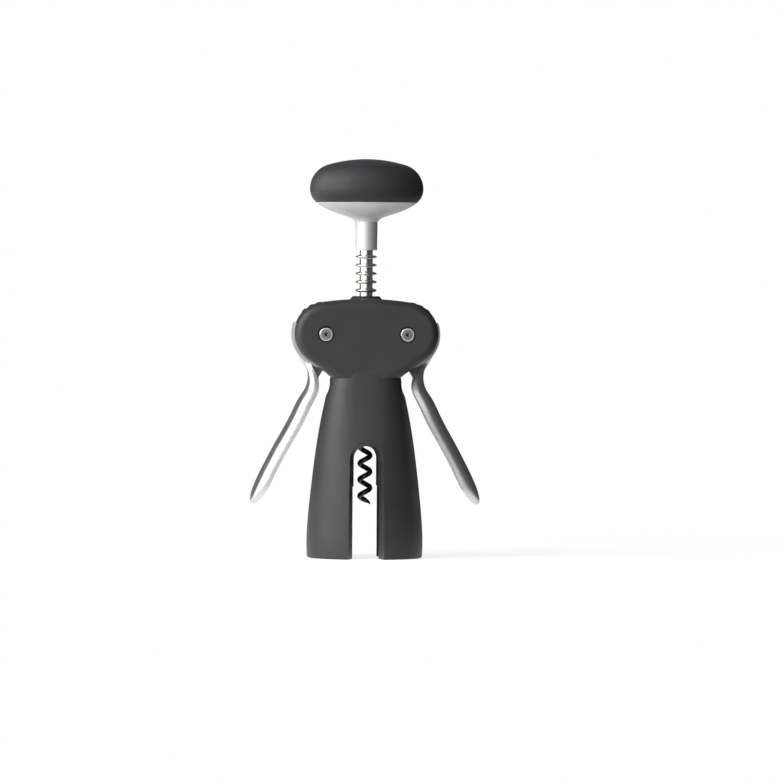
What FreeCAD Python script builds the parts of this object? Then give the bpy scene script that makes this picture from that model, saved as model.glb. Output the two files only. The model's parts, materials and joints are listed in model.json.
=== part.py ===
import FreeCAD, Part
import math
import os

# Wing corkscrew, in millimetres. X is to the right, -Y is the front, +Z is up.
# The origin is the centre of the body's bottom rim, which stands on a surface.
# The levers are shown nearly lowered and the knob raised.

V = FreeCAD.Vector
X_AXIS = V(1, 0, 0)
Y_AXIS = V(0, 1, 0)
Z_AXIS = V(0, 0, 1)

# Rack and gears
gear_module = 1.5
gear_teeth_full_circle = 24
pressure_angle = 14.5
gear_addendum = 0.55
gear_dedendum = 1.30
gear_width = 8.0
gear_backlash = 0.25
gear_tip_chamfer = 0.2
gear_tooth_sink = 1.0
rack_pitch_radius = 4.93
rack_addendum = 1.01
rack_dedendum = 1.25
rack_ring_pitch_thickness = 1.70
rack_ring_edge_round = 0.35
rack_ring_count = 15
rack_tail = 2.4
rack_travel_down = 38.5
rack_travel_up = 2.5
rack_spare_above = 5.3

# Pivots
pivot_z = 126.2
pin_radius = 2.5
pin_step = 0.8
pin_step_from_gear = 4.0
pin_tail_gap = 0.3
pin_step_gap = 0.1
pin_head_radius = 3.85
pin_head_height = 1.5
pin_head_edge_round = 0.4
pin_head_dimple_radius = 1.1
pin_head_dimple_end_radius = 0.2
pin_head_dimple_depth = 0.8
pin_head_groove_radius = 2.5
pin_head_groove_half_width = 0.25
pin_recess_radius = 4.75
pin_recess_depth = 1.7
washer_thickness = 0.5
washer_radius = 5.5

# Head of the body, with heights measured from the pivots
head_half_depth = 19.2
head_top_rise = 20.1
head_rim_inset = 0.45
head_rim_lift = 0.40
head_edge_round = 4.2
waist_edge_round = 9.0
waist_drop = 24.2
waist_half_width = 19.5
head_keel_drop = 2.0
gear_slot_side_gap = 0.15
gear_slot_rim_gap = 1.1
web_room_inwards = 0.9
web_room_outwards = 14.0
web_room_drop = 3.0
web_room_rise = 10.0

# Bell
foot_half_width = 32.5
foot_half_depth = 29.2
foot_edge_round = 1.0
foot_squareness = 2.2
bell_top_drop = 14.2
bell_top_side_inset = 1.9
bell_top_face_inset = 0.3
bell_top_squareness = 3.8

# Share of the bell's height, then how far its width and depth are from the top's size to the foot's
bell_stations = [
    (0.0, 1.0, 1.0),
    (0.321, 0.893, 0.845),
    (0.536, 0.698, 0.612),
    (0.714, 0.476, 0.359),
    (0.860, 0.235, 0.130),
    (1.0, 0.0, 0.0),
]

# Hollow where the arms lie when lowered
lever_relief_radius = 12.0
lever_relief_depth = 0.5
lever_relief_side_gap = 0.6
lever_relief_drop = 3.7
lever_relief_inwards = 0.9

# Bottle socket and windows
socket_radius = 15.6
socket_depth = 40.6
bore_radius = 12.2
bore_depth = 72.0
window_half_width = 9.8
window_height = 66.0
window_face_depth = 27.0
window_taper = 0.185

# Bushes
bush_wall = 2.0
top_bush_bore_clearance = 0.07
top_bush_height = 1.9
top_bush_sink = 0.35
top_bush_lip_wall = 1.25
top_bush_flange_wall = 2.85
top_bush_spigot_length = 6.7
top_bush_bore_chamfer = 0.5
guide_bush_drop = 27.2
guide_bush_length = 11.0
guide_bush_clearance = 0.08
guide_bush_shoulder = 0.45
rack_room_gap = 1.06

# Body screws: share of the foot's half width and of the bell's height
screw_places = [(0.388, 0.866), (0.622, 0.590), (0.757, 0.125)]
screw_radius = 1.4
screw_hole_clearance = 0.15
screw_head_radius = 2.6
screw_head_clearance = 0.3
screw_head_height = 1.9
screw_seat_y = 6.0
screw_length = 13.5
screw_end_gap = 0.5
screw_slot_half_length = 1.5
screw_slot_half_width = 0.3
screw_slot_depth = 1.0

# Right lever seen from the front. Each section has the place of its centre, its thickness, the lean
# of its outward direction above +X and the share of the way from the gear's width to the grip's.
# The neck's places are from the pivot, in pitch radii.
lever_neck_stations = [
    (0.776, -0.656, 2.33, -31.0, 0.0),
    (0.529, -0.994, 3.64, -37.2, 0.023),
    (0.398, -1.356, 5.41, -4.2, 0.465),
    (0.412, -1.700, 7.54, 6.1, 0.767),
]
# The arm's places are the share of its length from the elbow and the bow to the outside.
lever_arm_stations = [
    (0.106, -0.02, 8.17, 21.5, 0.930),
    (0.264, -0.28, 8.32, 25.6, 1.0),
    (0.474, 0.12, 8.18, 26.9, 1.0),
    (0.689, 0.30, 8.14, 26.3, 1.0),
    (0.858, -0.02, 7.87, 27.2, 0.953),
    (0.943, -0.03, 6.08, 27.4, 0.721),
    (1.0, 0.0, 2.47, 31.8, 0.186),
]
lever_arm_length = 72.8
lever_arm_slope = 62.67
lever_half_width = 12.6
lever_wall = 2.2
lever_crown_radius = 26.0
lever_corner_share = 0.58
lever_hollow_overrun = 0.6
lever_rim_lip = 0.55
head_rim_below_lever_rim = 1.2
lever_rim_from_rack = 36.5
lever_rim_end = 262.0
mesh_margin_lowered = 26.0
mesh_margin_raised = 19.5
lever_web_half_width = 2.0
lever_web_outer_share = 0.87
lever_web_inner_shares = [0.2, 0.0, -0.15]
# Places where the web meets the gear, from the pivot in pitch radii
lever_web_root = [(0.082, -1.139), (-0.083, -1.0)]

# Spindle, worm and their fixings
spindle_radius = 2.2
spindle_collar_inset = 0.18
spindle_collar_length = 9.0
spindle_collar_chamfer = 0.8
spindle_rise_in_knob = 4.3
thrust_washer_thickness = 0.8
worm_wire_radius = 1.45
worm_outer_radius = 4.3
worm_pitch = 9.2
worm_turns = 6.0
worm_tip_radius = 0.25
worm_shank_length = 7.5
worm_shank_gap = 0.3
worm_shank_bare = 0.4
worm_lead_drop = 6.2
worm_pin_radius = 0.8
worm_pin_inset = 0.1

# Knob
neck_above_rings = 3.9
neck_top_radius = 6.28
neck_bottom_radius = 6.10
neck_counterbore_gap = 0.15
neck_counterbore_depth = 2.6
neck_stop_gap = 2.45
neck_root_sink = 1.3
neck_root_inset = 0.7
knob_dish_height = 11.9
knob_cap_height = 24.6
knob_widest_share = 0.315
knob_side_share = 0.84
knob_lower_radius = 10.1
knob_half_width = 32.1
knob_depth_ratio = 0.56
knob_parting_gap = 0.02

# Share of the dish's height down from the parting line, then how far its width and depth are from
# the neck's size to the rim's
knob_dish_stations = [
    (0.0, 1.0, 1.0),
    (0.185, 0.857, 0.858),
    (0.460, 0.530, 0.569),
    (0.645, 0.232, 0.290),
    (0.774, 0.075, 0.111),
    (0.887, 0.014, 0.022),
]
knob_wall = 2.2
knob_grip_wall = 2.4
knob_seat_rise = 5.5
knob_nut_radius = 4.6
knob_nut_height = 4.0
knob_nut_room = 1.2
lock_washer_thickness = 1.0
spindle_end_room = 1.5

# Fits
running_clearance = 0.06
static_clearance = 0.03
axial_clearance = 0.05

# Sizes worked out from the ones above
gear_pitch_radius = gear_module * gear_teeth_full_circle / 2
gear_tip_radius = gear_pitch_radius + gear_addendum
gear_root_radius = gear_pitch_radius - gear_dedendum
gear_base_radius = gear_pitch_radius * math.cos(math.radians(pressure_angle))
rack_ring_spacing = math.pi * gear_module
rack_ring_radius = rack_pitch_radius + rack_addendum
rack_core_radius = rack_pitch_radius - rack_dedendum
rack_top_ring_z = pivot_z + rack_travel_down + rack_spare_above
rack_bottom_z = rack_top_ring_z - (rack_ring_count - 1) * rack_ring_spacing - rack_tail
pivot_x = gear_pitch_radius + rack_pitch_radius
lever_rim_radius = gear_tip_radius + lever_rim_lip
lever_raise_angle = math.degrees(rack_travel_down / gear_pitch_radius)
lever_lower_angle = math.degrees(rack_travel_up / gear_pitch_radius)
lever_rim_start = lever_raise_angle + lever_rim_from_rack
lever_teeth_first = -lever_lower_angle - mesh_margin_lowered
lever_teeth_last = lever_raise_angle + mesh_margin_raised
head_rim_radius = lever_rim_radius - head_rim_below_lever_rim
head_top_z = pivot_z + head_top_rise
waist_z = pivot_z - waist_drop
bell_top_z = pivot_z - bell_top_drop
gear_slot_half_width = gear_width / 2 + axial_clearance + washer_thickness + gear_slot_side_gap
gear_slot_radius = lever_rim_radius + gear_slot_rim_gap
top_bush_bore = neck_top_radius + top_bush_bore_clearance
top_bush_spigot_radius = top_bush_bore + bush_wall
top_bush_spigot_z = head_top_z - top_bush_spigot_length
top_bush_base_z = head_top_z - top_bush_sink
top_bush_flange_radius = top_bush_bore + top_bush_flange_wall
top_bush_top_z = top_bush_base_z + top_bush_height
guide_bush_bore = rack_ring_radius + guide_bush_clearance
guide_bush_radius = guide_bush_bore + bush_wall
guide_bush_bottom_z = pivot_z - guide_bush_drop
guide_bush_top_z = guide_bush_bottom_z + guide_bush_length
throat_radius = guide_bush_radius - guide_bush_shoulder
rack_room_radius = rack_ring_radius + rack_room_gap
pin_seat_y = head_half_depth - pin_recess_depth
pin_step_y = gear_width / 2 + pin_step_from_gear
neck_bottom_z = rack_top_ring_z + neck_above_rings
neck_top_z = top_bush_top_z + rack_travel_down + neck_stop_gap
neck_counterbore_radius = rack_core_radius + neck_counterbore_gap
rack_top_z = neck_bottom_z + neck_counterbore_depth - thrust_washer_thickness - 2 * axial_clearance
spindle_bore_radius = spindle_radius + running_clearance
spindle_collar_radius = rack_core_radius - spindle_collar_inset
spindle_collar_top_z = rack_bottom_z - thrust_washer_thickness - 2 * axial_clearance
spindle_bottom_z = spindle_collar_top_z - spindle_collar_length
worm_pin_z = spindle_bottom_z + spindle_collar_length / 2
knob_parting_z = neck_top_z + knob_dish_height
knob_top_z = knob_parting_z + knob_cap_height
knob_widest_z = knob_parting_z + knob_cap_height * knob_widest_share
knob_side_radius = (knob_top_z - knob_widest_z) * knob_side_share
knob_seat_z = neck_top_z + knob_seat_rise
knob_nut_z = knob_seat_z + lock_washer_thickness
spindle_top_z = knob_parting_z + spindle_rise_in_knob
beyond = 2 * knob_top_z     # longer than the whole part, for cutting tools that go right through


def cylinder(radius, start, end):
    axis = end - start
    return Part.makeCylinder(radius, axis.Length, start, axis)


def cone(radius_1, radius_2, start, end):
    axis = end - start
    return Part.makeCone(radius_1, radius_2, axis.Length, start, axis)


def box(low, high):
    size = high - low
    return Part.makeBox(size.x, size.y, size.z, low)


def revolve_z(points):
    # A solid of revolution about Z from a closed outline of (radius, height) points.
    corners = [V(r, 0, z) for r, z in points]
    face = Part.Face(Part.makePolygon(corners + corners[:1]))
    return face.revolve(V(0, 0, 0), Z_AXIS, 360)


def rounded_oval(half_width, half_depth, z, squareness, count=32):
    # A closed smooth wire in a level plane: a superellipse.
    points = []
    for step in range(count):
        angle = 2 * math.pi * step / count
        c = math.cos(angle)
        s = math.sin(angle)
        x = half_width * math.copysign(abs(c) ** (2 / squareness), c)
        y = half_depth * math.copysign(abs(s) ** (2 / squareness), s)
        points.append(V(x, y, z))
    curve = Part.BSplineCurve()
    curve.interpolate(points, PeriodicFlag=True)
    return Part.Wire([curve.toShape()])


def through_pivot(x, radius):
    return cylinder(radius, V(x, -beyond, pivot_z), V(x, beyond, pivot_z))


def up_the_middle(radius):
    return cylinder(radius, V(0, 0, -beyond), V(0, 0, beyond))


def mirrored(shape):
    return shape.mirror(V(0, 0, 0), X_AXIS)


def both_sides(shape):
    return shape.fuse(mirrored(shape))


def save(shape, name):
    merged = shape.removeSplitter()
    if merged.isValid():
        shape = merged
    shape.exportStep("parts/" + name + ".step")
    state = "valid" if shape.isValid() else "INVALID"
    print(name, len(shape.Solids), "solids", round(shape.Volume, 1), "mm3", state)


def head_outline(inset, waist_inset, y):
    # Front outline of the head: two rim arcs, a shallow crown and straight flanks to the waist.
    centre_x = pivot_x - head_rim_inset
    centre_z = pivot_z + head_rim_lift
    rim = head_rim_radius - inset
    top = head_top_z - inset
    rise = top - centre_z
    crown = (centre_x ** 2 + rise ** 2 - rim ** 2) / (2 * (rise - rim))
    crown_centre_z = top - crown
    lean = math.atan2(centre_x, centre_z - crown_centre_z)
    shoulder = V(crown * math.sin(lean), 0, crown_centre_z + crown * math.cos(lean))
    waist_x = waist_half_width - waist_inset
    reach = math.hypot(centre_x - waist_x, centre_z - waist_z)
    aim = math.atan2(centre_z - waist_z, centre_x - waist_x) - math.asin(rim / reach)
    run = math.sqrt(reach ** 2 - rim ** 2)
    flank = V(waist_x + run * math.cos(aim), 0, waist_z + run * math.sin(aim))
    outer = V(centre_x + rim, 0, centre_z)
    waist = V(waist_x, 0, waist_z)
    keel = V(0, 0, waist_z - head_keel_drop)
    flip = lambda p: V(-p.x, 0, p.z)
    edges = [
        Part.Arc(flip(shoulder), V(0, 0, top), shoulder).toShape(),
        Part.Arc(shoulder, outer, flank).toShape(),
        Part.makeLine(flank, waist),
        Part.makeLine(waist, keel),
        Part.makeLine(keel, flip(waist)),
        Part.makeLine(flip(waist), flip(flank)),
        Part.Arc(flip(flank), flip(outer), flip(shoulder)).toShape(),
    ]
    outline = Part.Wire(edges)
    outline.translate(V(0, y, 0))
    return outline


def round_inset(radius, depth, y):
    # How far a rounded edge of this radius has drawn in at a distance y from the middle plane.
    past = y - (depth - radius)
    if past <= 0:
        return 0.0
    return radius - math.sqrt(max(radius ** 2 - past ** 2, 0.0))


def head_form():
    # A prism with rounded front and back edges. The round grows from the rim to the waist.
    depth = head_half_depth
    straight = depth - waist_edge_round
    prism = Part.Face(head_outline(0, 0, -straight)).extrude(V(0, 2 * straight, 0))
    wires = []
    for share in (0.0, 0.25, 0.5, 0.7, 0.85, 0.95, 1.0):
        y = straight + waist_edge_round * share
        rim_inset = round_inset(head_edge_round, depth, y)
        waist_inset = round_inset(waist_edge_round, depth, y)
        wires.append(head_outline(rim_inset, waist_inset, y))
    back = Part.makeLoft(wires, True, False)
    return prism.fuse([back, back.mirror(V(0, 0, 0), Y_AXIS)])


def bell_form():
    top_half_width = waist_half_width - bell_top_side_inset
    top_half_depth = head_half_depth - bell_top_face_inset
    wires = []
    for share, width_share, depth_share in bell_stations:
        half_width = top_half_width + (foot_half_width - top_half_width) * width_share
        half_depth = top_half_depth + (foot_half_depth - top_half_depth) * depth_share
        squareness = foot_squareness + (bell_top_squareness - foot_squareness) * share ** 2
        wires.append(rounded_oval(half_width, half_depth, share * bell_top_z, squareness))
    return Part.makeLoft(wires, True, False)


def window_cutter():
    # The window tapers inwards, has an arched top and is open at the foot.
    wires = []
    spring_z = window_height - window_half_width
    for y in (2 * window_face_depth, bore_radius / 2):
        half = window_half_width + window_taper * (y - window_face_depth)
        wires.append(Part.Wire([
            Part.makeLine(V(-half, -y, -foot_edge_round), V(half, -y, -foot_edge_round)),
            Part.makeLine(V(half, -y, -foot_edge_round), V(half, -y, spring_z)),
            Part.Arc(V(half, -y, spring_z), V(0, -y, spring_z + half), V(-half, -y, spring_z)).toShape(),
            Part.makeLine(V(-half, -y, spring_z), V(-half, -y, -foot_edge_round)),
        ]))
    front = Part.makeLoft(wires, True, True)
    back = front.mirror(V(0, 0, 0), Y_AXIS)
    return front.fuse(back)


def gear_slot_cutter():
    # Room for the gear, for the web behind it and for the lowered arm's neck.
    half = gear_slot_half_width
    disc = cylinder(gear_slot_radius, V(pivot_x, -half, pivot_z), V(pivot_x, half, pivot_z))
    low = V(waist_half_width - web_room_inwards, -half, waist_z - web_room_drop)
    high = V(pivot_x + web_room_outwards, half, waist_z + web_room_rise)
    web_room = box(low, high)
    centre_x = waist_half_width + lever_relief_radius + lever_relief_inwards - lever_relief_depth
    centre_z = waist_z - lever_relief_drop
    deep = lever_half_width + lever_relief_side_gap
    relief = cylinder(lever_relief_radius, V(centre_x, -deep, centre_z), V(centre_x, deep, centre_z))
    return both_sides(disc.fuse([web_room, relief]))


def body_form():
    # The body as one piece, before it is parted into halves.
    body = head_form().fuse(bell_form())
    foot_edges = [e for e in body.Edges if e.BoundBox.ZMax < foot_edge_round / 2]
    body = body.makeFillet(foot_edge_round, foot_edges)
    bush_hole = guide_bush_radius + static_clearance
    spigot_hole = top_bush_spigot_radius + static_clearance
    flange_seat = top_bush_flange_radius + static_clearance
    cuts = [
        cylinder(socket_radius, V(0, 0, -beyond), V(0, 0, socket_depth)),
        cylinder(bore_radius, V(0, 0, -beyond), V(0, 0, bore_depth)),
        cylinder(throat_radius, V(0, 0, -beyond), V(0, 0, guide_bush_top_z)),
        cylinder(bush_hole, V(0, 0, guide_bush_bottom_z), V(0, 0, guide_bush_top_z)),
        cylinder(rack_room_radius, V(0, 0, guide_bush_bottom_z), V(0, 0, beyond)),
        cylinder(spigot_hole, V(0, 0, top_bush_spigot_z), V(0, 0, beyond)),
        cylinder(flange_seat, V(0, 0, top_bush_base_z), V(0, 0, beyond)),
        window_cutter(),
        gear_slot_cutter(),
    ]
    for cutter in cuts:
        body = body.cut(cutter)
    for x in (-pivot_x, pivot_x):
        body = body.cut(through_pivot(x, pin_radius + static_clearance))
        for side in (-1, 1):
            seat = V(x, side * pin_seat_y, pivot_z)
            body = body.cut(cylinder(pin_recess_radius, seat, V(x, side * beyond, pivot_z)))
    return body


def screw_spots():
    # Place of each screw's axis, on both sides of the body.
    spots = []
    for width_share, height_share in screw_places:
        x = width_share * foot_half_width
        z = height_share * bell_top_z
        spots += [(-x, z), (x, z)]
    return spots


def shell(body, side):
    # One half of the body. The screws go in from the back, into the front half.
    near = min(0, side * beyond)
    half = body.common(box(V(-beyond, near, -beyond), V(beyond, near + beyond, beyond)))
    for x, z in screw_spots():
        middle = V(x, 0, z)
        if side > 0:
            half = half.cut(cylinder(screw_radius + screw_hole_clearance, middle, V(x, beyond, z)))
            seat = V(x, screw_seat_y, z)
            half = half.cut(cylinder(screw_head_radius + screw_head_clearance, seat, V(x, beyond, z)))
        else:
            depth = screw_length - screw_seat_y + screw_end_gap
            half = half.cut(cylinder(screw_radius + static_clearance, middle, V(x, -depth, z)))
    return half


def shell_screws():
    screws = []
    for x, z in screw_spots():
        seat = V(x, screw_seat_y, z)
        top = V(x, screw_seat_y + screw_head_height, z)
        shank = cylinder(screw_radius, V(x, screw_seat_y - screw_length, z), seat)
        head = cylinder(screw_head_radius, seat, top)
        corner = V(screw_slot_half_length, screw_slot_depth, screw_slot_half_width)
        for turn in (0, 90):
            slot = box(-corner, corner)
            slot.rotate(V(0, 0, 0), Y_AXIS, turn)
            slot.translate(top)
            head = head.cut(slot)
        screws.append(shank.fuse(head).removeSplitter())
    return Part.makeCompound(screws)


def top_bush():
    outline = [
        (top_bush_bore, top_bush_spigot_z),
        (top_bush_spigot_radius, top_bush_spigot_z),
        (top_bush_spigot_radius, top_bush_base_z),
        (top_bush_flange_radius, top_bush_base_z),
        (top_bush_bore + top_bush_lip_wall, top_bush_top_z),
        (top_bush_bore + top_bush_bore_chamfer, top_bush_top_z),
        (top_bush_bore, top_bush_top_z - top_bush_bore_chamfer),
    ]
    return revolve_z(outline)


def guide_bush():
    low = V(0, 0, guide_bush_bottom_z)
    high = V(0, 0, guide_bush_top_z)
    return cylinder(guide_bush_radius, low, high).cut(cylinder(guide_bush_bore, low, high))


def rack_sleeve():
    # Rings with sloped flanks on a plain core, so that the rack meshes however it is turned.
    slope = math.tan(math.radians(pressure_angle))
    tip_half = rack_ring_pitch_thickness / 2 - rack_addendum * slope
    root_half = rack_ring_pitch_thickness / 2 + rack_dedendum * slope
    round_off = rack_ring_edge_round
    outline = [(spindle_bore_radius, rack_bottom_z), (rack_core_radius, rack_bottom_z)]
    for number in range(rack_ring_count - 1, -1, -1):
        z = rack_top_ring_z - number * rack_ring_spacing
        outline.append((rack_core_radius, z - root_half))
        outline.append((rack_ring_radius - round_off, z - tip_half))
        outline.append((rack_ring_radius, z - tip_half + round_off))
        outline.append((rack_ring_radius, z + tip_half - round_off))
        outline.append((rack_ring_radius - round_off, z + tip_half))
        outline.append((rack_core_radius, z + root_half))
    outline.append((rack_core_radius, rack_top_z))
    outline.append((spindle_bore_radius, rack_top_z))
    return revolve_z(outline)


def mesh_offset_angle():
    # The gear tooth nearest the pivots' level sits midway between two rings.
    rings_up = (rack_top_ring_z - pivot_z) / rack_ring_spacing
    gap_z = rack_top_ring_z - (math.floor(rings_up) + 0.5) * rack_ring_spacing
    return math.degrees((gap_z - pivot_z) / gear_pitch_radius)


def involute_point(radius, half_angle_at_pitch):
    # Half angle of a tooth at a radius, for an involute flank.
    if radius < gear_base_radius:
        radius_used = gear_base_radius
    else:
        radius_used = radius
    at = math.acos(gear_base_radius / radius_used)
    pitch_at = math.radians(pressure_angle)
    spread = (math.tan(pitch_at) - pitch_at) - (math.tan(at) - at)
    return half_angle_at_pitch + spread


def gear_tooth(angle):
    # One tooth as a prism about the left pivot, pointing at the given angle from +X.
    thickness = rack_ring_spacing - rack_ring_pitch_thickness - gear_backlash
    half = thickness / 2 / gear_pitch_radius
    chamfer_radius = gear_tip_radius - gear_tip_chamfer
    radii = [gear_root_radius - gear_tooth_sink, gear_base_radius, gear_pitch_radius, chamfer_radius]
    upper = [(r, involute_point(r, half)) for r in radii]
    tip_half = involute_point(gear_tip_radius, half) - gear_tip_chamfer / gear_tip_radius
    upper.append((gear_tip_radius, tip_half))
    places = [(r, a) for r, a in upper] + [(r, -a) for r, a in reversed(upper)]
    corners = []
    for r, a in places:
        turn = math.radians(angle) + a
        corners.append(V(r * math.cos(turn), -gear_width / 2, r * math.sin(turn)))
    face = Part.Face(Part.makePolygon(corners + corners[:1]))
    return face.extrude(V(0, gear_width, 0))


def sector(radius, start, end, half_width):
    # A slice of a disc about the Y axis, from one angle to another, measured from +X towards +Z.
    def rim(angle):
        turn = math.radians(angle)
        return V(radius * math.cos(turn), -half_width, radius * math.sin(turn))

    centre = V(0, -half_width, 0)
    edges = [
        Part.makeLine(centre, rim(start)),
        Part.Arc(rim(start), rim((start + end) / 2), rim(end)).toShape(),
        Part.makeLine(rim(end), centre),
    ]
    return Part.Face(Part.Wire(edges)).extrude(V(0, 2 * half_width, 0))


def lever_stations():
    # Centre, outward direction, thickness and half width of each section of the right lever.
    pivot = V(pivot_x, 0, pivot_z)
    slope = math.radians(lever_arm_slope)
    along = V(math.cos(slope), 0, -math.sin(slope))
    outside = V(math.sin(slope), 0, math.cos(slope))
    places = []
    for x, z, thickness, lean, share in lever_neck_stations:
        places.append((pivot + V(x, 0, z) * gear_pitch_radius, thickness, lean, share))
    elbow = places[-1][0]
    for distance, bow, thickness, lean, share in lever_arm_stations:
        centre = elbow + along * (distance * lever_arm_length) + outside * bow
        places.append((centre, thickness, lean, share))
    stations = []
    for centre, thickness, lean, share in places:
        turn = math.radians(lean)
        across = V(math.cos(turn), 0, math.sin(turn))
        half_width = gear_width / 2 + (lever_half_width - gear_width / 2) * share
        stations.append((centre, across, thickness, half_width))
    return stations


def lever_section(station, inset):
    # An arched section of the right arm: flat towards the body, crowned outside.
    centre, across, thickness, half_width = station
    overrun = lever_hollow_overrun if inset > 0 else 0.0
    base = centre - across * (thickness / 2 + overrun)
    height = thickness - inset + overrun
    half_width = half_width - inset
    corner = lever_corner_share * height
    crown = lever_crown_radius
    corner_y = half_width - corner
    corner_rise = height - crown + math.sqrt((crown - corner) ** 2 - corner_y ** 2)
    lean = math.atan2(corner_y, corner_rise - (height - crown))

    def place(y, rise):
        return base + across * rise + V(0, y, 0)

    meet_y = crown * math.sin(lean)
    meet_rise = height - crown + crown * math.cos(lean)
    bend = (math.pi / 2 + lean) / 2
    mid_y = corner_y + corner * math.sin(bend)
    mid_rise = corner_rise + corner * math.cos(bend)
    foot_l = place(-half_width, 0)
    foot_r = place(half_width, 0)
    side_l = place(-half_width, corner_rise)
    side_r = place(half_width, corner_rise)
    return Part.Wire([
        Part.makeLine(foot_l, side_l),
        Part.Arc(side_l, place(-mid_y, mid_rise), place(-meet_y, meet_rise)).toShape(),
        Part.Arc(place(-meet_y, meet_rise), place(0, height), place(meet_y, meet_rise)).toShape(),
        Part.Arc(place(meet_y, meet_rise), place(mid_y, mid_rise), side_r).toShape(),
        Part.makeLine(side_r, foot_r),
        Part.makeLine(foot_r, foot_l),
    ])


def lever_arm():
    # The right arm: an arched shell, hollow towards the body and closed at both ends.
    stations = lever_stations()
    hollow_stations = stations[len(lever_neck_stations) - 1:-2]
    outer = Part.makeLoft([lever_section(s, 0) for s in stations], True, False)
    hollow = Part.makeLoft([lever_section(s, lever_wall) for s in hollow_stations], True, False)
    return outer.cut(hollow)


def lever_web():
    # Plate in the middle plane that ties the arm to the gear.
    def within(station, share):
        centre, across, thickness, half_width = station
        return centre + across * (thickness * (share - 0.5))

    stations = lever_stations()[:len(lever_neck_stations) + 1]
    outline = [within(stations[0], 0.0)]
    outline += [within(s, lever_web_outer_share) for s in stations[1:]]
    outline += [within(s, share) for s, share in zip(reversed(stations), lever_web_inner_shares)]
    for x, z in lever_web_root:
        outline.append(V(pivot_x, 0, pivot_z) + V(x, 0, z) * gear_pitch_radius)
    face = Part.Face(Part.makePolygon(outline + outline[:1]))
    face.translate(V(0, -lever_web_half_width, 0))
    return face.extrude(V(0, 2 * lever_web_half_width, 0))


def left_gear():
    # Toothed sector and plain rim about the left pivot, at rest.
    pitch = 360 / gear_teeth_full_circle
    half = gear_width / 2
    gear = cylinder(gear_root_radius, V(0, -half, 0), V(0, half, 0))
    gear = gear.fuse(sector(lever_rim_radius, lever_rim_start, lever_rim_end, half))
    teeth = []
    number = math.ceil((lever_teeth_first - mesh_offset_angle()) / pitch)
    while mesh_offset_angle() + number * pitch <= lever_teeth_last:
        teeth.append(gear_tooth(mesh_offset_angle() + number * pitch))
        number += 1
    gear = gear.fuse(teeth)
    gear = gear.removeSplitter()
    gear.translate(V(-pivot_x, 0, pivot_z))
    return gear


def left_lever():
    lever = left_gear().fuse([mirrored(lever_arm()), mirrored(lever_web())])
    return lever.cut(through_pivot(-pivot_x, pin_radius + running_clearance))


def pin_head(x, side):
    # Round head in the recess, with a turned groove and a dimple. Side is -1 at the front.
    seat_y = side * pin_seat_y
    face_y = side * (pin_seat_y + pin_head_height)
    face = V(x, face_y, pivot_z)
    head = cylinder(pin_head_radius, V(x, seat_y, pivot_z), face)
    rim = [e for e in head.Edges if abs(e.CenterOfMass.y - face_y) < pin_head_edge_round / 10]
    head = head.makeFillet(pin_head_edge_round, rim)
    dimple_end = V(x, face_y - side * pin_head_dimple_depth, pivot_z)
    dimple = cone(pin_head_dimple_radius, pin_head_dimple_end_radius, face, dimple_end)
    groove_end = V(x, face_y - side * pin_head_groove_half_width, pivot_z)
    groove = cylinder(pin_head_groove_radius + pin_head_groove_half_width, face, groove_end)
    land = cylinder(pin_head_groove_radius - pin_head_groove_half_width, face, groove_end)
    return head.cut([dimple, groove.cut(land)])


def pivot_pin(x):
    # Plain shaft from the front head, with a reduced end inside the sleeve nut.
    seat = V(x, -pin_seat_y, pivot_z)
    step = V(x, pin_step_y, pivot_z)
    tail = V(x, pin_seat_y - pin_tail_gap, pivot_z)
    shaft = cylinder(pin_radius, seat, step).fuse(cylinder(pin_radius - pin_step, step, tail))
    return shaft.fuse(pin_head(x, -1))


def pin_nuts():
    nuts = []
    for x in (-pivot_x, pivot_x):
        mouth = V(x, pin_step_y + pin_step_gap, pivot_z)
        sleeve = cylinder(pin_radius, mouth, V(x, pin_seat_y, pivot_z))
        bore_end = V(x, pin_seat_y - pin_tail_gap + pin_step_gap, pivot_z)
        bore = cylinder(pin_radius - pin_step + static_clearance, mouth, bore_end)
        nuts.append(sleeve.fuse(pin_head(x, 1)).cut(bore).removeSplitter())
    return Part.makeCompound(nuts)


def lever_washers():
    washers = []
    for x in (-pivot_x, pivot_x):
        for side in (-1, 1):
            inner = side * (gear_width / 2 + axial_clearance)
            outer = side * (gear_width / 2 + axial_clearance + washer_thickness)
            disc = cylinder(washer_radius, V(x, inner, pivot_z), V(x, outer, pivot_z))
            washers.append(disc.cut(through_pivot(x, pin_radius + static_clearance)))
    return Part.makeCompound(washers)


def worm_pin_rod(radius, half_length):
    return cylinder(radius, V(-half_length, 0, worm_pin_z), V(half_length, 0, worm_pin_z))


def spindle():
    collar_end = V(0, 0, spindle_bottom_z)
    collar = cylinder(spindle_collar_radius, collar_end, V(0, 0, spindle_collar_top_z))
    near = spindle_bottom_z + spindle_collar_chamfer / 10
    collar = collar.makeChamfer(spindle_collar_chamfer, [e for e in collar.Edges if e.BoundBox.ZMax < near])
    rod = cylinder(spindle_radius, V(0, 0, spindle_collar_top_z), V(0, 0, spindle_top_z))
    socket_top = V(0, 0, spindle_bottom_z + worm_shank_length + worm_shank_gap)
    socket = cylinder(worm_wire_radius + static_clearance, collar_end, socket_top)
    return collar.fuse(rod).cut([socket, worm_pin_rod(worm_pin_radius, beyond)])


def thrust_washers():
    washers = []
    for low in (rack_top_z + axial_clearance, spindle_collar_top_z + axial_clearance):
        disc = cylinder(spindle_collar_radius, V(0, 0, low), V(0, 0, low + thrust_washer_thickness))
        washers.append(disc.cut(up_the_middle(spindle_radius + static_clearance)))
    return Part.makeCompound(washers)


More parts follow.
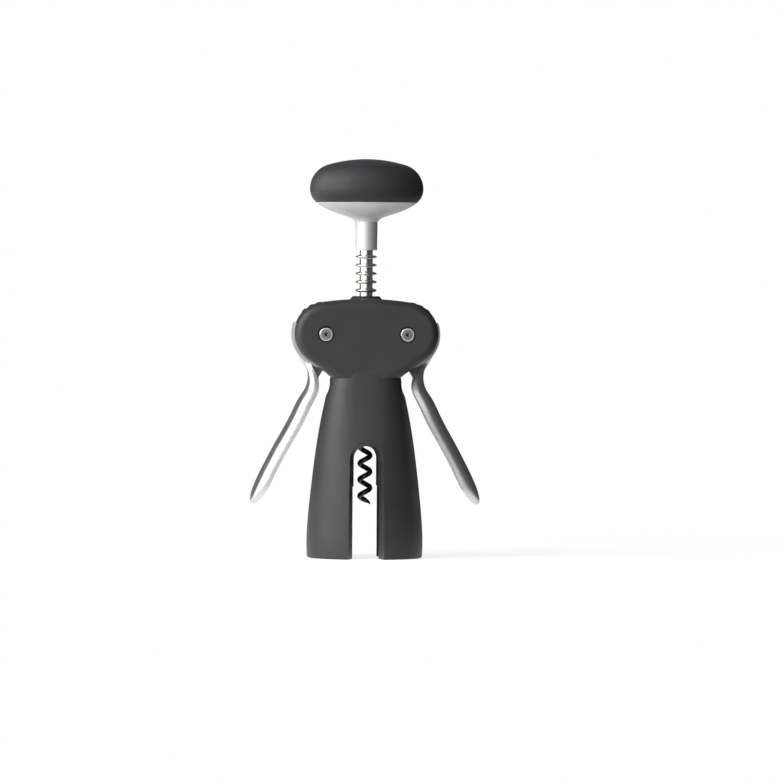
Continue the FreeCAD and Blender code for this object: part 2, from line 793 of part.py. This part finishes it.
def arc_pair(start, start_way, end, end_way):
    # Two arcs that join two points and follow a direction at each.
    reach = end - start
    lean = start_way + end_way
    a = 2 * (1 - start_way.dot(end_way))
    b = 2 * reach.dot(lean)
    c = -reach.dot(reach)
    length = (-b + math.sqrt(b * b - 4 * a * c)) / (2 * a)
    corner_1 = start + start_way * length
    corner_2 = end - end_way * length
    middle = (corner_1 + corner_2) * 0.5
    arcs = []
    for p, corner, q in ((start, corner_1, middle), (middle, corner_2, end)):
        chord_mid = (p + q) * 0.5
        half_chord = (p - chord_mid).Length
        height = (corner - chord_mid).Length
        turn = 2 * math.atan2(height, half_chord)
        rise = half_chord * math.tan(turn / 4)
        top = chord_mid + (corner - chord_mid) * (rise / height)
        arcs.append(Part.Arc(p, top, q).toShape())
    return arcs


def helix_point(turn, radius, top_z):
    # Point and direction on a right-hand helix that descends from the top.
    angle = 2 * math.pi * turn
    rise = worm_pitch / (2 * math.pi)
    point = V(radius * math.cos(angle), -radius * math.sin(angle), top_z - rise * angle)
    way = V(-radius * math.sin(angle), -radius * math.cos(angle), -rise)
    way.normalize()
    return point, way


def worm():
    # Straight shank in the spindle, an easy bend out to the helix, whole turns and a ground point.
    radius = worm_outer_radius - worm_wire_radius
    top_z = spindle_bottom_z - worm_lead_drop
    shank_top = V(0, 0, spindle_bottom_z + worm_shank_length)
    shank_end = V(0, 0, spindle_bottom_z - worm_shank_bare)
    down = V(0, 0, -1)
    edges = [Part.makeLine(shank_top, shank_end)]
    point, way = helix_point(0, radius, top_z)
    edges += arc_pair(shank_end, down, point, way)
    quarters = int(round(worm_turns * 4))
    for quarter in range(quarters - 1):
        p, p_way = helix_point(quarter / 4, radius, top_z)
        q, q_way = helix_point((quarter + 1) / 4, radius, top_z)
        edges += arc_pair(p, p_way, q, q_way)
    path = Part.Wire(edges)
    circle = Part.makeCircle(worm_wire_radius, shank_top, down)
    wire = path.makePipeShell([Part.Wire([circle])], True, False)
    rings = []
    steps = 4
    for step in range(steps, -1, -1):
        p, way = helix_point((quarters - 1 + step / steps) / 4, radius, top_z)
        share = step / steps
        size = worm_wire_radius + (worm_tip_radius - worm_wire_radius) * share
        rings.append(Part.Wire([Part.makeCircle(size, p, way)]))
    point_end = Part.makeLoft(rings, True, False)
    least = worm_gap(radius, top_z)
    print("worm least gap to itself", round(least, 2), "mm")
    return wire.fuse(point_end).cut(worm_pin_rod(worm_pin_radius, beyond))


def worm_gap(radius, top_z):
    # Least distance between the surfaces of turns that are next to each other.
    least = 1e9
    start = helix_point(0, radius, top_z)[0]
    for step in range(100, 301):
        p = helix_point(step / 200, radius, top_z)[0]
        least = min(least, (p - start).Length)
    return least - 2 * worm_wire_radius


def worm_pin():
    return worm_pin_rod(worm_pin_radius - static_clearance, spindle_collar_radius - worm_pin_inset)


def knob_profile(inset, bottom_z):
    # Right half of the knob's outline above the parting line: a tight round below the widest
    # place, an easier one above it and a shallow crown.
    side = knob_side_radius - inset
    centre_x = knob_half_width - knob_side_radius
    top = knob_top_z - inset
    rise = top - knob_widest_z
    crown = (centre_x ** 2 + rise ** 2 - side ** 2) / (2 * (rise - side))
    lean = math.atan2(centre_x, knob_widest_z - (top - crown))
    meet = V(crown * math.sin(lean), 0, top - crown + crown * math.cos(lean))
    half_lean = lean / 2
    crown_mid = V(crown * math.sin(half_lean), 0, top - crown + crown * math.cos(half_lean))
    side_mid_angle = math.atan2(meet.z - knob_widest_z, meet.x - centre_x) / 2
    side_mid = V(side * math.cos(side_mid_angle), 0, side * math.sin(side_mid_angle))
    side_mid = side_mid + V(centre_x, 0, knob_widest_z)
    widest = V(centre_x + side, 0, knob_widest_z)
    low_centre_x = knob_half_width - inset - knob_lower_radius
    low_angle = math.asin((knob_widest_z - bottom_z) / knob_lower_radius)
    low = V(low_centre_x + knob_lower_radius * math.cos(low_angle), 0, bottom_z)
    low_mid_x = low_centre_x + knob_lower_radius * math.cos(low_angle / 2)
    low_mid = V(low_mid_x, 0, knob_widest_z - knob_lower_radius * math.sin(low_angle / 2))
    return [
        Part.makeLine(V(0, 0, bottom_z), low),
        Part.Arc(low, low_mid, widest).toShape(),
        Part.Arc(widest, side_mid, meet).toShape(),
        Part.Arc(meet, crown_mid, V(0, 0, top)).toShape(),
        Part.makeLine(V(0, 0, top), V(0, 0, bottom_z)),
    ]


def knob_cap(inset, bottom_z):
    face = Part.Face(Part.Wire(knob_profile(inset, bottom_z)))
    solid = face.revolve(V(0, 0, 0), Z_AXIS, 360)
    squash = FreeCAD.Matrix()
    squash.scale(1, knob_depth_ratio, 1)
    return solid.transformGeometry(squash)


def knob_dish(inset):
    # Underside of the knob: an oval that draws in to the round neck.
    side_reach = math.sqrt(knob_lower_radius ** 2 - (knob_widest_z - knob_parting_z) ** 2)
    rim_half_width = knob_half_width - knob_lower_radius + side_reach
    rim_half_depth = rim_half_width * knob_depth_ratio
    wires = []
    for drop, width_share, depth_share in knob_dish_stations:
        z = knob_parting_z - drop * knob_dish_height
        lift = inset if drop > 0 else 0
        half_width = neck_top_radius + (rim_half_width - neck_top_radius) * width_share - inset
        half_depth = neck_top_radius + (rim_half_depth - neck_top_radius) * depth_share - inset
        wires.append(rounded_oval(half_width, half_depth, z + lift, 2.0))
    root = neck_top_radius - neck_root_inset - inset
    wires.append(rounded_oval(root, root, neck_top_z - neck_root_sink + inset, 2.0))
    return Part.makeLoft(wires, True, False)


def knob_shell():
    slope = (neck_top_radius - neck_bottom_radius) / (neck_top_z - neck_bottom_z)
    neck_end = neck_top_z + knob_seat_rise / 2
    end_radius = neck_top_radius + slope * (neck_end - neck_top_z)
    neck = cone(neck_bottom_radius, end_radius, V(0, 0, neck_bottom_z), V(0, 0, neck_end))
    body = knob_dish(0).fuse(neck)
    hollow = knob_dish(knob_wall).common(box(V(-beyond, -beyond, knob_seat_z), V(beyond, beyond, beyond)))
    body = body.cut(hollow)
    bore = up_the_middle(spindle_radius + static_clearance)
    counter_top = V(0, 0, neck_bottom_z + neck_counterbore_depth)
    counter = cylinder(neck_counterbore_radius, V(0, 0, -beyond), counter_top)
    return body.cut([bore, counter])


def knob_core():
    low = knob_parting_z + knob_parting_gap
    core = knob_cap(knob_grip_wall, low)
    room_top = V(0, 0, spindle_top_z + spindle_end_room)
    return core.cut(cylinder(knob_nut_radius + knob_nut_room, V(0, 0, -beyond), room_top))


def knob_grip():
    low = knob_parting_z + knob_parting_gap
    outer = knob_cap(0, low)
    return outer.cut(knob_cap(knob_grip_wall - static_clearance, low - knob_grip_wall / 4))


def knob_nut():
    corners = []
    for step in range(6):
        turn = math.pi / 3 * step
        corners.append(V(knob_nut_radius * math.cos(turn), knob_nut_radius * math.sin(turn), knob_nut_z))
    face = Part.Face(Part.makePolygon(corners + corners[:1]))
    nut = face.extrude(V(0, 0, knob_nut_height))
    return nut.cut(up_the_middle(spindle_radius + static_clearance))


def lock_washer():
    disc = cylinder(knob_nut_radius, V(0, 0, knob_seat_z), V(0, 0, knob_nut_z))
    return disc.cut(up_the_middle(spindle_radius + static_clearance))


def main():
    os.makedirs("parts", exist_ok=True)
    body = body_form()
    save(shell(body, -1), "front_shell")
    save(shell(body, 1), "back_shell")
    save(top_bush(), "top_bush")
    save(guide_bush(), "guide_bush")
    save(shell_screws(), "shell_screws")
    lever = left_lever()
    save(lever, "left_lever")
    save(mirrored(lever), "right_lever")
    save(pivot_pin(-pivot_x), "left_pivot_pin")
    save(pivot_pin(pivot_x), "right_pivot_pin")
    save(pin_nuts(), "pin_nuts")
    save(lever_washers(), "lever_washers")
    save(rack_sleeve(), "rack_sleeve")
    save(spindle(), "spindle")
    save(thrust_washers(), "thrust_washers")
    save(worm(), "worm")
    save(worm_pin(), "worm_pin")
    save(knob_shell(), "knob_shell")
    save(knob_core(), "knob_core")
    save(knob_grip(), "knob_grip")
    save(knob_nut(), "knob_nut")
    save(lock_washer(), "lock_washer")


main()
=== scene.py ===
import bpy
import json
import math
from mathutils import Matrix, Vector

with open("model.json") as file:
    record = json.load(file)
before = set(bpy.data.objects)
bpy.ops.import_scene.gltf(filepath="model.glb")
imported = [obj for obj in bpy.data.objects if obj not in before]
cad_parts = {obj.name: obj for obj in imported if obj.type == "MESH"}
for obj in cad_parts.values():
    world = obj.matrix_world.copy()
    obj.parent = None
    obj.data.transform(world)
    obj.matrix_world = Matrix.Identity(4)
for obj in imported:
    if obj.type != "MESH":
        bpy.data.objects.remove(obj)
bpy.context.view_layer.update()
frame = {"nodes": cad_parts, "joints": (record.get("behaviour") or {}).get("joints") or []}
print("frame loaded:", len(frame["nodes"]), "pieces")

nodes = frame["nodes"]
joints = {joint["name"]: joint for joint in frame["joints"]}
rightPivot = Vector(joints["right_lever_swing"]["pos_m"])
mm = 0.001


# colours and nodes

def srgb(hexColour):
    # hex sRGB to linear RGBA
    channels = [int(hexColour[i:i + 2], 16) / 255 for i in (1, 3, 5)]
    linear = [c / 12.92 if c <= 0.04045 else ((c + 0.055) / 1.055) ** 2.4 for c in channels]
    return (*linear, 1.0)


def addNode(tree, kind, settings=None, links=None):
    # one node with its settings and its incoming links
    node = tree.nodes.new(kind)
    for name, value in (settings or {}).items():
        if isinstance(name, int) or name in node.inputs:
            node.inputs[name].default_value = value
        else:
            setattr(node, name, value)
    for name, source in (links or {}).items():
        tree.links.new(source, node.inputs[name])
    return node


def combine(tree, operation, *sources):
    # a math node fed by one or two sockets
    links = dict(enumerate(sources))
    return addNode(tree, "ShaderNodeMath", {"operation": operation}, links).outputs[0]


def multiply(tree, source, factor):
    return addNode(tree, "ShaderNodeMath", {"operation": "MULTIPLY", 1: factor}, {0: source}).outputs[0]


def axisOf(tree, vector, axis):
    return addNode(tree, "ShaderNodeSeparateXYZ", links={"Vector": vector}).outputs[axis]


def ramp(tree, source, stops):
    # colour ramp from (position, hex colour) stops
    node = addNode(tree, "ShaderNodeValToRGB", links={"Fac": source})
    elements = node.color_ramp.elements
    while len(elements) < len(stops):
        elements.new(0.5)
    for element, (position, colour) in zip(elements, stops):
        element.position = position
        element.color = srgb(colour)
    return node.outputs["Color"]


def remap(tree, source, low, high, fromLow=0.0, fromHigh=1.0):
    node = addNode(tree, "ShaderNodeMapRange", {
        "From Min": fromLow, "From Max": fromHigh, "To Min": low, "To Max": high}, {"Value": source})
    return node.outputs["Result"]


def paintOver(tree, colour, mask, hexColour):
    return addNode(tree, "ShaderNodeMixRGB", {"Color2": srgb(hexColour)}, {
        "Fac": mask, "Color1": colour}).outputs[0]


def perMetre(millimetres):
    # texture scale for a pattern whose features are this far apart
    return 1.0 / (millimetres * mm)


def noise(tree, place, spacingMm, detail=2.0, roughness=0.5, stretch=None):
    source = place
    if stretch:
        source = addNode(tree, "ShaderNodeMapping", {"Scale": stretch}, {"Vector": place}).outputs["Vector"]
    return addNode(tree, "ShaderNodeTexNoise", {
        "Scale": perMetre(spacingMm), "Detail": detail, "Roughness": roughness},
        {"Vector": source}).outputs["Fac"]


def bump(tree, height, depthMm, strength, under=None):
    links = {"Height": height}
    if under is not None:
        links["Normal"] = under
    return addNode(tree, "ShaderNodeBump", {
        "Distance": depthMm * mm, "Strength": strength}, links).outputs["Normal"]


# In each look, a noise is (spacing in mm, detail, roughness), a bump is (depth in mm, strength), and a
# span is the part of a noise's range that takes a value from one end to the other.

roughSpan = (0.3, 0.7)


def startMaterial(name, look):
    material = bpy.data.materials.new(name)
    material.use_nodes = True
    tree = material.node_tree
    tree.nodes.clear()
    output = addNode(tree, "ShaderNodeOutputMaterial")
    shader = addNode(tree, "ShaderNodeBsdfPrincipled", look.get("shader"))
    tree.links.new(shader.outputs["BSDF"], output.inputs["Surface"])
    place = addNode(tree, "ShaderNodeTexCoord").outputs["Object"]
    return material, tree, shader, place


def mottle(tree, cloud, look):
    # colour that drifts between the two tones of the look
    share = remap(tree, cloud, 0.0, 1.0, *look["cloudSpan"])
    return ramp(tree, share, [(0.0, look["base"]), (1.0, look["worn"])])


def finishShader(tree, shader, colour, rough, normal):
    for name, source in (("Base Color", colour), ("Roughness", rough), ("Normal", normal)):
        tree.links.new(source, shader.inputs[name])


def grainedMaterial(name, look):
    # mottled colour, uneven roughness and a fine grain
    material, tree, shader, place = startMaterial(name, look)
    cloud = noise(tree, place, *look["cloud"])
    smear = noise(tree, place, *look["smear"]) if "smear" in look else cloud
    grain = noise(tree, place, *look["grain"])
    finishShader(tree, shader, mottle(tree, cloud, look),
                 remap(tree, smear, *look["roughness"], *roughSpan),
                 bump(tree, grain, *look["grainBump"]))
    return material


# body: moulded PC-ABS with a sprayed soft-touch coat. Dark grey, no sharp highlight, and faint scuffs
# from handling.

softTouchLook = {
    "base": "#343435",
    "worn": "#414244",
    "cloud": (22, 3),
    "cloudWear": 0.35,
    "cloudSpan": (0.35, 0.7),
    "scuff": (5.0, 6, 0.7),
    "scuffStretch": (1.6, 1.6, 0.35),
    "scuffWear": 0.55,
    "scuffSpan": (0.60, 0.74),
    "seam": "#151516",
    "seamHalfMm": 0.12,
    "seamBump": (0.1, 0.8),
    "wave": (9, 1),
    "waveBump": (0.03, 0.35),
    "grain": (0.35, 2),
    "grainBump": (0.012, 0.5),
    "roughness": (0.44, 0.54),
    "shader": {"IOR": 1.48, "Sheen Weight": 0.06, "Sheen Roughness": 0.4},
}


def softTouchCoat():
    look = softTouchLook
    material, tree, shader, place = startMaterial("softTouchCoatedAbs", look)
    cloud = noise(tree, place, *look["cloud"])
    scuff = noise(tree, place, *look["scuff"], stretch=look["scuffStretch"])
    cloudWear = remap(tree, cloud, 0.0, look["cloudWear"], *look["cloudSpan"])
    scuffMask = remap(tree, scuff, 0.0, 1.0, *look["scuffSpan"])
    wear = combine(tree, "MAXIMUM", cloudWear, remap(tree, scuffMask, 0.0, look["scuffWear"]))
    colour = ramp(tree, wear, [(0.0, look["base"]), (1.0, look["worn"])])
    # the halves meet in the middle plane: a fine dark line round the sides and the top
    beside = combine(tree, "ABSOLUTE", axisOf(tree, place, "Y"))
    seamHalf = look["seamHalfMm"] * mm
    seam = remap(tree, beside, 1.0, 0.0, 0.5 * seamHalf, seamHalf)
    groove = addNode(tree, "ShaderNodeMath", {"operation": "SUBTRACT", 0: 1.0}, {1: seam}).outputs[0]
    normal = bump(tree, noise(tree, place, *look["wave"]), *look["waveBump"])
    normal = bump(tree, noise(tree, place, *look["grain"]), *look["grainBump"], normal)
    normal = bump(tree, groove, *look["seamBump"], normal)
    finishShader(tree, shader, paintOver(tree, colour, seam, look["seam"]),
                 remap(tree, scuff, *look["roughness"], *roughSpan), normal)
    return material


# grip: overmoulded thermoplastic elastomer. A little softer in tone than the body, dry to the touch.

elastomerLook = {
    "base": "#303032",
    "worn": "#3c3c3f",
    "cloud": (14, 4),
    "cloudSpan": (0.35, 0.75),
    "smear": (6, 5, 0.65),
    "grain": (0.3, 2),
    "grainBump": (0.01, 0.5),
    "roughness": (0.50, 0.60),
    "shader": {"IOR": 1.5, "Sheen Weight": 0.08, "Sheen Roughness": 0.45},
}


# levers: zinc die casting, polished and satin chromed. Broad soft reflections with faint lines along
# the arm.

leverLook = {
    "base": "#dcdcdd",
    "worn": "#c6c7c9",
    "cloud": (16, 4),
    "cloudSpan": (0.3, 0.75),
    "smear": (7, 5, 0.6),
    "roughness": (0.36, 0.44),
    "line": (0.28, 3),
    "lineStretch": (1.0, 1.0, 0.03),
    "lineBump": (0.0006, 0.4),
    "ripple": (11, 1),
    "rippleBump": (0.03, 0.15),
    "paintedShade": "#77777a",
    "paintedShadeRoughness": 0.5,
    "paintedShadeHalfMm": 3.0,           # painted shade: the web faces within this distance of the middle plane are coloured darker
    "paintedShadeEdgeMm": 0.1,
    "paintedShadeFacing": (0.9, 0.95),   # how squarely a face looks forward or back to take the painted shade
    "gear": "#4a4a4c",
    "gearRoughness": 0.42,
    "gearRiseMm": (7.6, 8.4),    # above the pivots
    "shader": {"Metallic": 1.0},
}


def roughnessOver(tree, rough, mask, value):
    return addNode(tree, "ShaderNodeMix", {"data_type": "FLOAT", "B": value}, {
        "Factor": mask, "A": rough}).outputs[0]


def satinChromeCasting():
    look = leverLook
    material, tree, shader, place = startMaterial("satinChromedZincCasting", look)
    colour = mottle(tree, noise(tree, place, *look["cloud"]), look)
    facing = addNode(tree, "ShaderNodeTexCoord").outputs["Normal"]
    flat = combine(tree, "ABSOLUTE", axisOf(tree, facing, "Y"))
    beside = combine(tree, "ABSOLUTE", axisOf(tree, place, "Y"))
    paintedShadeHalf = look["paintedShadeHalfMm"]
    near = remap(tree, beside, 1.0, 0.0, (paintedShadeHalf - look["paintedShadeEdgeMm"]) * mm, paintedShadeHalf * mm)
    # painted shade: the web faces, recessed behind the arm where shade falls, are coloured darker grey and
    # made rougher
    paintedShadeMask = combine(tree, "MULTIPLY", remap(tree, flat, 0.0, 1.0, *look["paintedShadeFacing"]), near)
    # the toothed part, above the plain rim, is coloured darker and given its own roughness
    gearHeights = [rightPivot.z + rise * mm for rise in look["gearRiseMm"]]
    gear = remap(tree, axisOf(tree, place, "Z"), 0.0, 1.0, *gearHeights)
    # the painted shade on the web faces goes over the colour here
    colour = paintOver(tree, colour, paintedShadeMask, look["paintedShade"])
    colour = paintOver(tree, colour, gear, look["gear"])
    smear = noise(tree, place, *look["smear"])
    rough = remap(tree, smear, *look["roughness"], *roughSpan)
    rough = roughnessOver(tree, rough, paintedShadeMask, look["paintedShadeRoughness"])
    rough = roughnessOver(tree, rough, gear, look["gearRoughness"])
    lines = noise(tree, place, *look["line"], stretch=look["lineStretch"])
    normal = bump(tree, noise(tree, place, *look["ripple"]), *look["rippleBump"])
    normal = bump(tree, lines, *look["lineBump"], normal)
    finishShader(tree, shader, colour, rough, normal)
    return material


# knob underside: bead-blasted and satin chromed. Even grey with a very fine grain.

knobLook = {
    "base": "#e8e8ea",
    "worn": "#dededf",
    "cloud": (12, 4),
    "cloudSpan": (0.3, 0.75),
    "smear": (5, 5),
    "grain": (0.25, 2),
    "grainBump": (0.01, 0.6),
    "roughness": (0.56, 0.64),
    "shader": {"Metallic": 0.6},
}


# turned steel: rack, spindle, pins and fasteners. Fine rings from the lathe tool.

turnedLook = {
    "base": "#e6e5e3",
    "worn": "#dcdbd8",
    "cloud": (3, 4),
    "cloudSpan": (0.35, 0.75),
    "roughness": (0.24, 0.29),
    "feedMm": 0.22,
    "feedBump": (0.0004, 0.5),
    "rimMm": 3.85,               # radius of the pins' heads
    "rings": [(0.0, "#62615d"), (0.30, "#72716d"), (0.36, "#aeaeaa"), (0.44, "#868682"), (0.60, "#989894"),
              (0.68, "#c0c0bc"), (0.74, "#8e8e89"), (0.82, "#d4d4d1"), (0.90, "#ffffff")],
    "shader": {"Metallic": 1.0},
}


def fromPinAxis(tree, place):
    # distance from the nearer pivot's axis: the pattern is the same on both sides of the middle
    side = combine(tree, "ABSOLUTE", axisOf(tree, place, "X"))
    flat = addNode(tree, "ShaderNodeCombineXYZ", links={"X": side, "Z": axisOf(tree, place, "Z")})
    return addNode(tree, "ShaderNodeVectorMath", {
        "operation": "DISTANCE", 1: (rightPivot.x, 0, rightPivot.z)}, {0: flat.outputs[0]}).outputs["Value"]


def turnedSteel(name, marks):
    look = turnedLook
    material, tree, shader, place = startMaterial(name, look)
    ringAxis = axisOf(tree, place, "Z") if marks == "rack" else fromPinAxis(tree, place)
    wave = combine(tree, "SINE", multiply(tree, ringAxis, 2 * math.pi * perMetre(look["feedMm"])))
    cloud = noise(tree, place, *look["cloud"])
    colour = mottle(tree, cloud, look)
    if marks == "pins":
        # darker rings inside a bright rim, set by distance from the pivot's axis
        rings = ramp(tree, remap(tree, ringAxis, 0.0, 1.0, 0.0, look["rimMm"] * mm), look["rings"])
        colour = addNode(tree, "ShaderNodeMixRGB", {"blend_type": "MULTIPLY", "Fac": 1.0}, {
            "Color1": colour, "Color2": rings}).outputs[0]
    finishShader(tree, shader, colour, remap(tree, cloud, *look["roughness"], *roughSpan),
                 bump(tree, wave, *look["feedBump"]))
    return material


# worm: steel wire with a baked low-friction coat. Near black, satin, slightly uneven where it was
# dipped.

wormLook = {
    "base": "#141415",
    "worn": "#242425",
    "cloud": (2.0, 5),
    "cloudSpan": (0.4, 0.75),
    "grain": (0.8, 3),
    "grainBump": (0.02, 0.5),
    "roughness": (0.26, 0.42),
}


# bushes, washers and the knob's core: acetal, nylon and ABS. Smooth and slightly waxy.

acetalLook = {
    "base": "#2c2c2e",
    "worn": "#3a3a3c",
    "cloud": (4, 4),
    "cloudSpan": (0.35, 0.75),
    "grain": (0.5, 2),
    "grainBump": (0.008, 0.5),
    "roughness": (0.36, 0.46),
}
nylonLook = {**acetalLook, "base": "#d8d5cc", "worn": "#c9c5ba"}
coreLook = {**acetalLook, "base": "#2e2e30", "worn": "#38383a"}

materials = {
    "softTouch": softTouchCoat(),
    "elastomer": grainedMaterial("mouldedThermoplasticElastomer", elastomerLook),
    "lever": satinChromeCasting(),
    "knobMetal": grainedMaterial("beadBlastedSatinChrome", knobLook),
    "rack": turnedSteel("turnedPlatedSteel", "rack"),
    "pins": turnedSteel("turnedPinSteel", "pins"),
    "worm": grainedMaterial("bakedFluoropolymerCoat", wormLook),
    "acetal": grainedMaterial("turnedBlackAcetal", acetalLook),
    "nylon": grainedMaterial("mouldedNaturalNylon", nylonLook),
    "core": grainedMaterial("mouldedBlackAbs", coreLook),
}
print("materials made:", len(materials))

finishes = {
    "front_shell": "softTouch", "back_shell": "softTouch", "top_bush": "acetal", "guide_bush": "acetal",
    "shell_screws": "rack", "left_lever": "lever", "right_lever": "lever",
    "left_pivot_pin": "pins", "right_pivot_pin": "pins", "pin_nuts": "pins", "lever_washers": "nylon",
    "rack_sleeve": "rack", "spindle": "rack", "thrust_washers": "rack", "worm": "worm", "worm_pin": "rack",
    "knob_shell": "knobMetal", "knob_core": "core", "knob_grip": "elastomer",
    "knob_nut": "rack", "lock_washer": "rack",
}

for nodeName, finish in finishes.items():
    slots = nodes[nodeName].data.materials
    slots.clear()
    slots.append(materials[finish])
print("finishes set:", len(finishes))


# stage: pale floor that goes over to plain white away from the object

stageLook = {
    "floor": "#b4b4b5",
    "reach": 8.0,                # metres from the middle to the floor's edge
    "glow": 0.82,
    "paperOut": (0.12, 0.45),    # where the lit paper goes over to plain white
    # what reflections see, by metres behind the object's middle and to its right
    "frontToBack": (0.3, 0.9),
    "dimBehind": 0.25,
    "leftToRight": (0.04, 0.4),
    "dimRight": 0.12,
    "mirrored": 1.25,            # strength where the paper is brightest
    "frontToMiddle": (-0.3, -0.08),
    "dimFront": 0.22,
    "white": (1, 1, 1, 1),
    "worldGlow": 0.07,           # what lights the object from all round
}


def paleFloor():
    look = stageLook
    material = bpy.data.materials.new("paleStudioFloor")
    material.use_nodes = True
    tree = material.node_tree
    tree.nodes.clear()
    output = addNode(tree, "ShaderNodeOutputMaterial")
    path = addNode(tree, "ShaderNodeLightPath")
    # reflections see bright paper under, left of and just behind the object, and dimmer paper in
    # front, far behind and to the right
    place = addNode(tree, "ShaderNodeTexCoord").outputs["Object"]
    across = axisOf(tree, place, "X")
    along = axisOf(tree, place, "Y")
    ahead = remap(tree, along, 1.0, look["dimBehind"], *look["frontToBack"])
    lit = remap(tree, across, 1.0, look["dimRight"], *look["leftToRight"])
    front = remap(tree, along, look["dimFront"], look["mirrored"], *look["frontToMiddle"])
    bright = combine(tree, "MULTIPLY", combine(tree, "MULTIPLY", ahead, lit), front)
    mirrorSees = combine(tree, "MULTIPLY", path.outputs["Is Glossy Ray"], bright)
    seen = combine(tree, "MAXIMUM", path.outputs["Is Camera Ray"], mirrorSees)
    # near the object the floor is lit paper that takes the shadow, and further out it is plain white
    away = addNode(tree, "ShaderNodeVectorMath", {"operation": "LENGTH"}, {0: place}).outputs["Value"]
    out = remap(tree, away, 0.0, 1.0, *look["paperOut"])
    paper = addNode(tree, "ShaderNodeBsdfDiffuse", {"Color": srgb(look["floor"])}).outputs[0]
    nearGlow = multiply(tree, seen, look["glow"])
    lift = addNode(tree, "ShaderNodeEmission", {"Color": look["white"]}, {"Strength": nearGlow}).outputs[0]
    near = addNode(tree, "ShaderNodeAddShader", links={0: paper, 1: lift}).outputs[0]
    far = addNode(tree, "ShaderNodeEmission", {"Color": look["white"]}, {"Strength": seen}).outputs[0]
    both = addNode(tree, "ShaderNodeMixShader", links={0: out, 1: near, 2: far}).outputs[0]
    tree.links.new(both, output.inputs["Surface"])
    return material


def makeFloor():
    reach = stageLook["reach"]
    corners = [(-reach, -reach, 0), (reach, -reach, 0), (reach, reach, 0), (-reach, reach, 0)]
    mesh = bpy.data.meshes.new("studioFloor")
    mesh.from_pydata(corners, [], [(0, 1, 2, 3)])
    floor = bpy.data.objects.new("studioFloor", mesh)
    bpy.context.scene.collection.objects.link(floor)
    mesh.materials.append(paleFloor())


def makeWorld():
    look = stageLook
    world = bpy.data.worlds.new("studioWorld")
    bpy.context.scene.world = world
    world.use_nodes = True
    tree = world.node_tree
    tree.nodes.clear()
    output = addNode(tree, "ShaderNodeOutputWorld")
    path = addNode(tree, "ShaderNodeLightPath")
    soft = addNode(tree, "ShaderNodeBackground", {"Color": look["white"], "Strength": look["worldGlow"]})
    white = addNode(tree, "ShaderNodeBackground", {"Color": look["white"], "Strength": 1.0})
    seen = combine(tree, "MAXIMUM", path.outputs["Is Camera Ray"], path.outputs["Is Transmission Ray"])
    pick = addNode(tree, "ShaderNodeMixShader", links={
        "Fac": seen, 1: soft.outputs[0], 2: white.outputs[0]})
    tree.links.new(pick.outputs[0], output.inputs["Surface"])


# lamps: size and place in metres

lamps = {
    "keySoftbox": {"place": (-1.15, -0.88, 0.78), "size": (1.2, 1.2), "watts": 26},
    "frontCard": {"place": (-0.8, -3.2, 0.7), "size": (2.2, 2.2), "watts": 27},
    "leftSoftbox": {"place": (-1.4, -0.15, 0.4), "size": (0.7, 1.2), "watts": 7},
    "warmCard": {"place": (1.3, -0.5, 0.3), "size": (0.8, 1.4), "watts": 0.3, "tint": "#d8b8a8"},
}
lampAim = Vector((0, 0, 0.12))


def makeLamps():
    for name, lamp in lamps.items():
        data = bpy.data.lights.new(name, "AREA")
        data.shape = "RECTANGLE"
        data.size, data.size_y = lamp["size"]
        data.energy = lamp["watts"]
        data.color = srgb(lamp.get("tint", "#ffffff"))[:3]
        place = Vector(lamp["place"])
        obj = bpy.data.objects.new(name, data)
        obj.location = place
        obj.rotation_euler = (lampAim - place).to_track_quat("-Z", "Y").to_euler()
        bpy.context.scene.collection.objects.link(obj)


# camera: the photograph's view, a little from the left, almost level and leaning slightly. Degrees and
# metres, with the sensor in mm.

view = {
    "azimuth": -2.5,
    "elevation": 0.9,
    "distance": 2.9,
    "frameWidth": 0.4411,        # across the frame at the object
    "centreX": 0.0139,           # what the frame's centre looks at
    "centreZ": 0.0946,
    "lean": 0.38,                # clockwise lean of the object in the frame
    "sensor": 36.0,
    "farthest": 50,
}


def makeCamera():
    data = bpy.data.cameras.new("photoCamera")
    data.sensor_fit = "HORIZONTAL"
    data.sensor_width = view["sensor"]
    data.lens = view["sensor"] * view["distance"] / view["frameWidth"]
    data.clip_end = view["farthest"]
    azimuth = math.radians(view["azimuth"])
    elevation = math.radians(view["elevation"])
    level = math.cos(elevation)
    right = Vector((math.cos(azimuth), math.sin(azimuth), 0))
    back = Vector((math.sin(azimuth) * level, -math.cos(azimuth) * level, math.sin(elevation)))
    up = back.cross(right)
    target = right * view["centreX"] + Vector((0, 0, view["centreZ"]))
    rotation = Matrix((right, up, back)).transposed()
    roll = Matrix.Rotation(math.radians(view["lean"]), 3, "Z")
    place = Matrix.Translation(target + back * view["distance"])
    camera = bpy.data.objects.new("photoCamera", data)
    camera.matrix_world = place @ (rotation @ roll).to_4x4()
    bpy.context.scene.collection.objects.link(camera)
    bpy.context.scene.camera = camera


makeFloor()
makeWorld()
makeLamps()
makeCamera()
bpy.context.scene.view_settings.view_transform = "Standard"
print("stage, lamps and camera set")

bpy.context.view_layer.update()
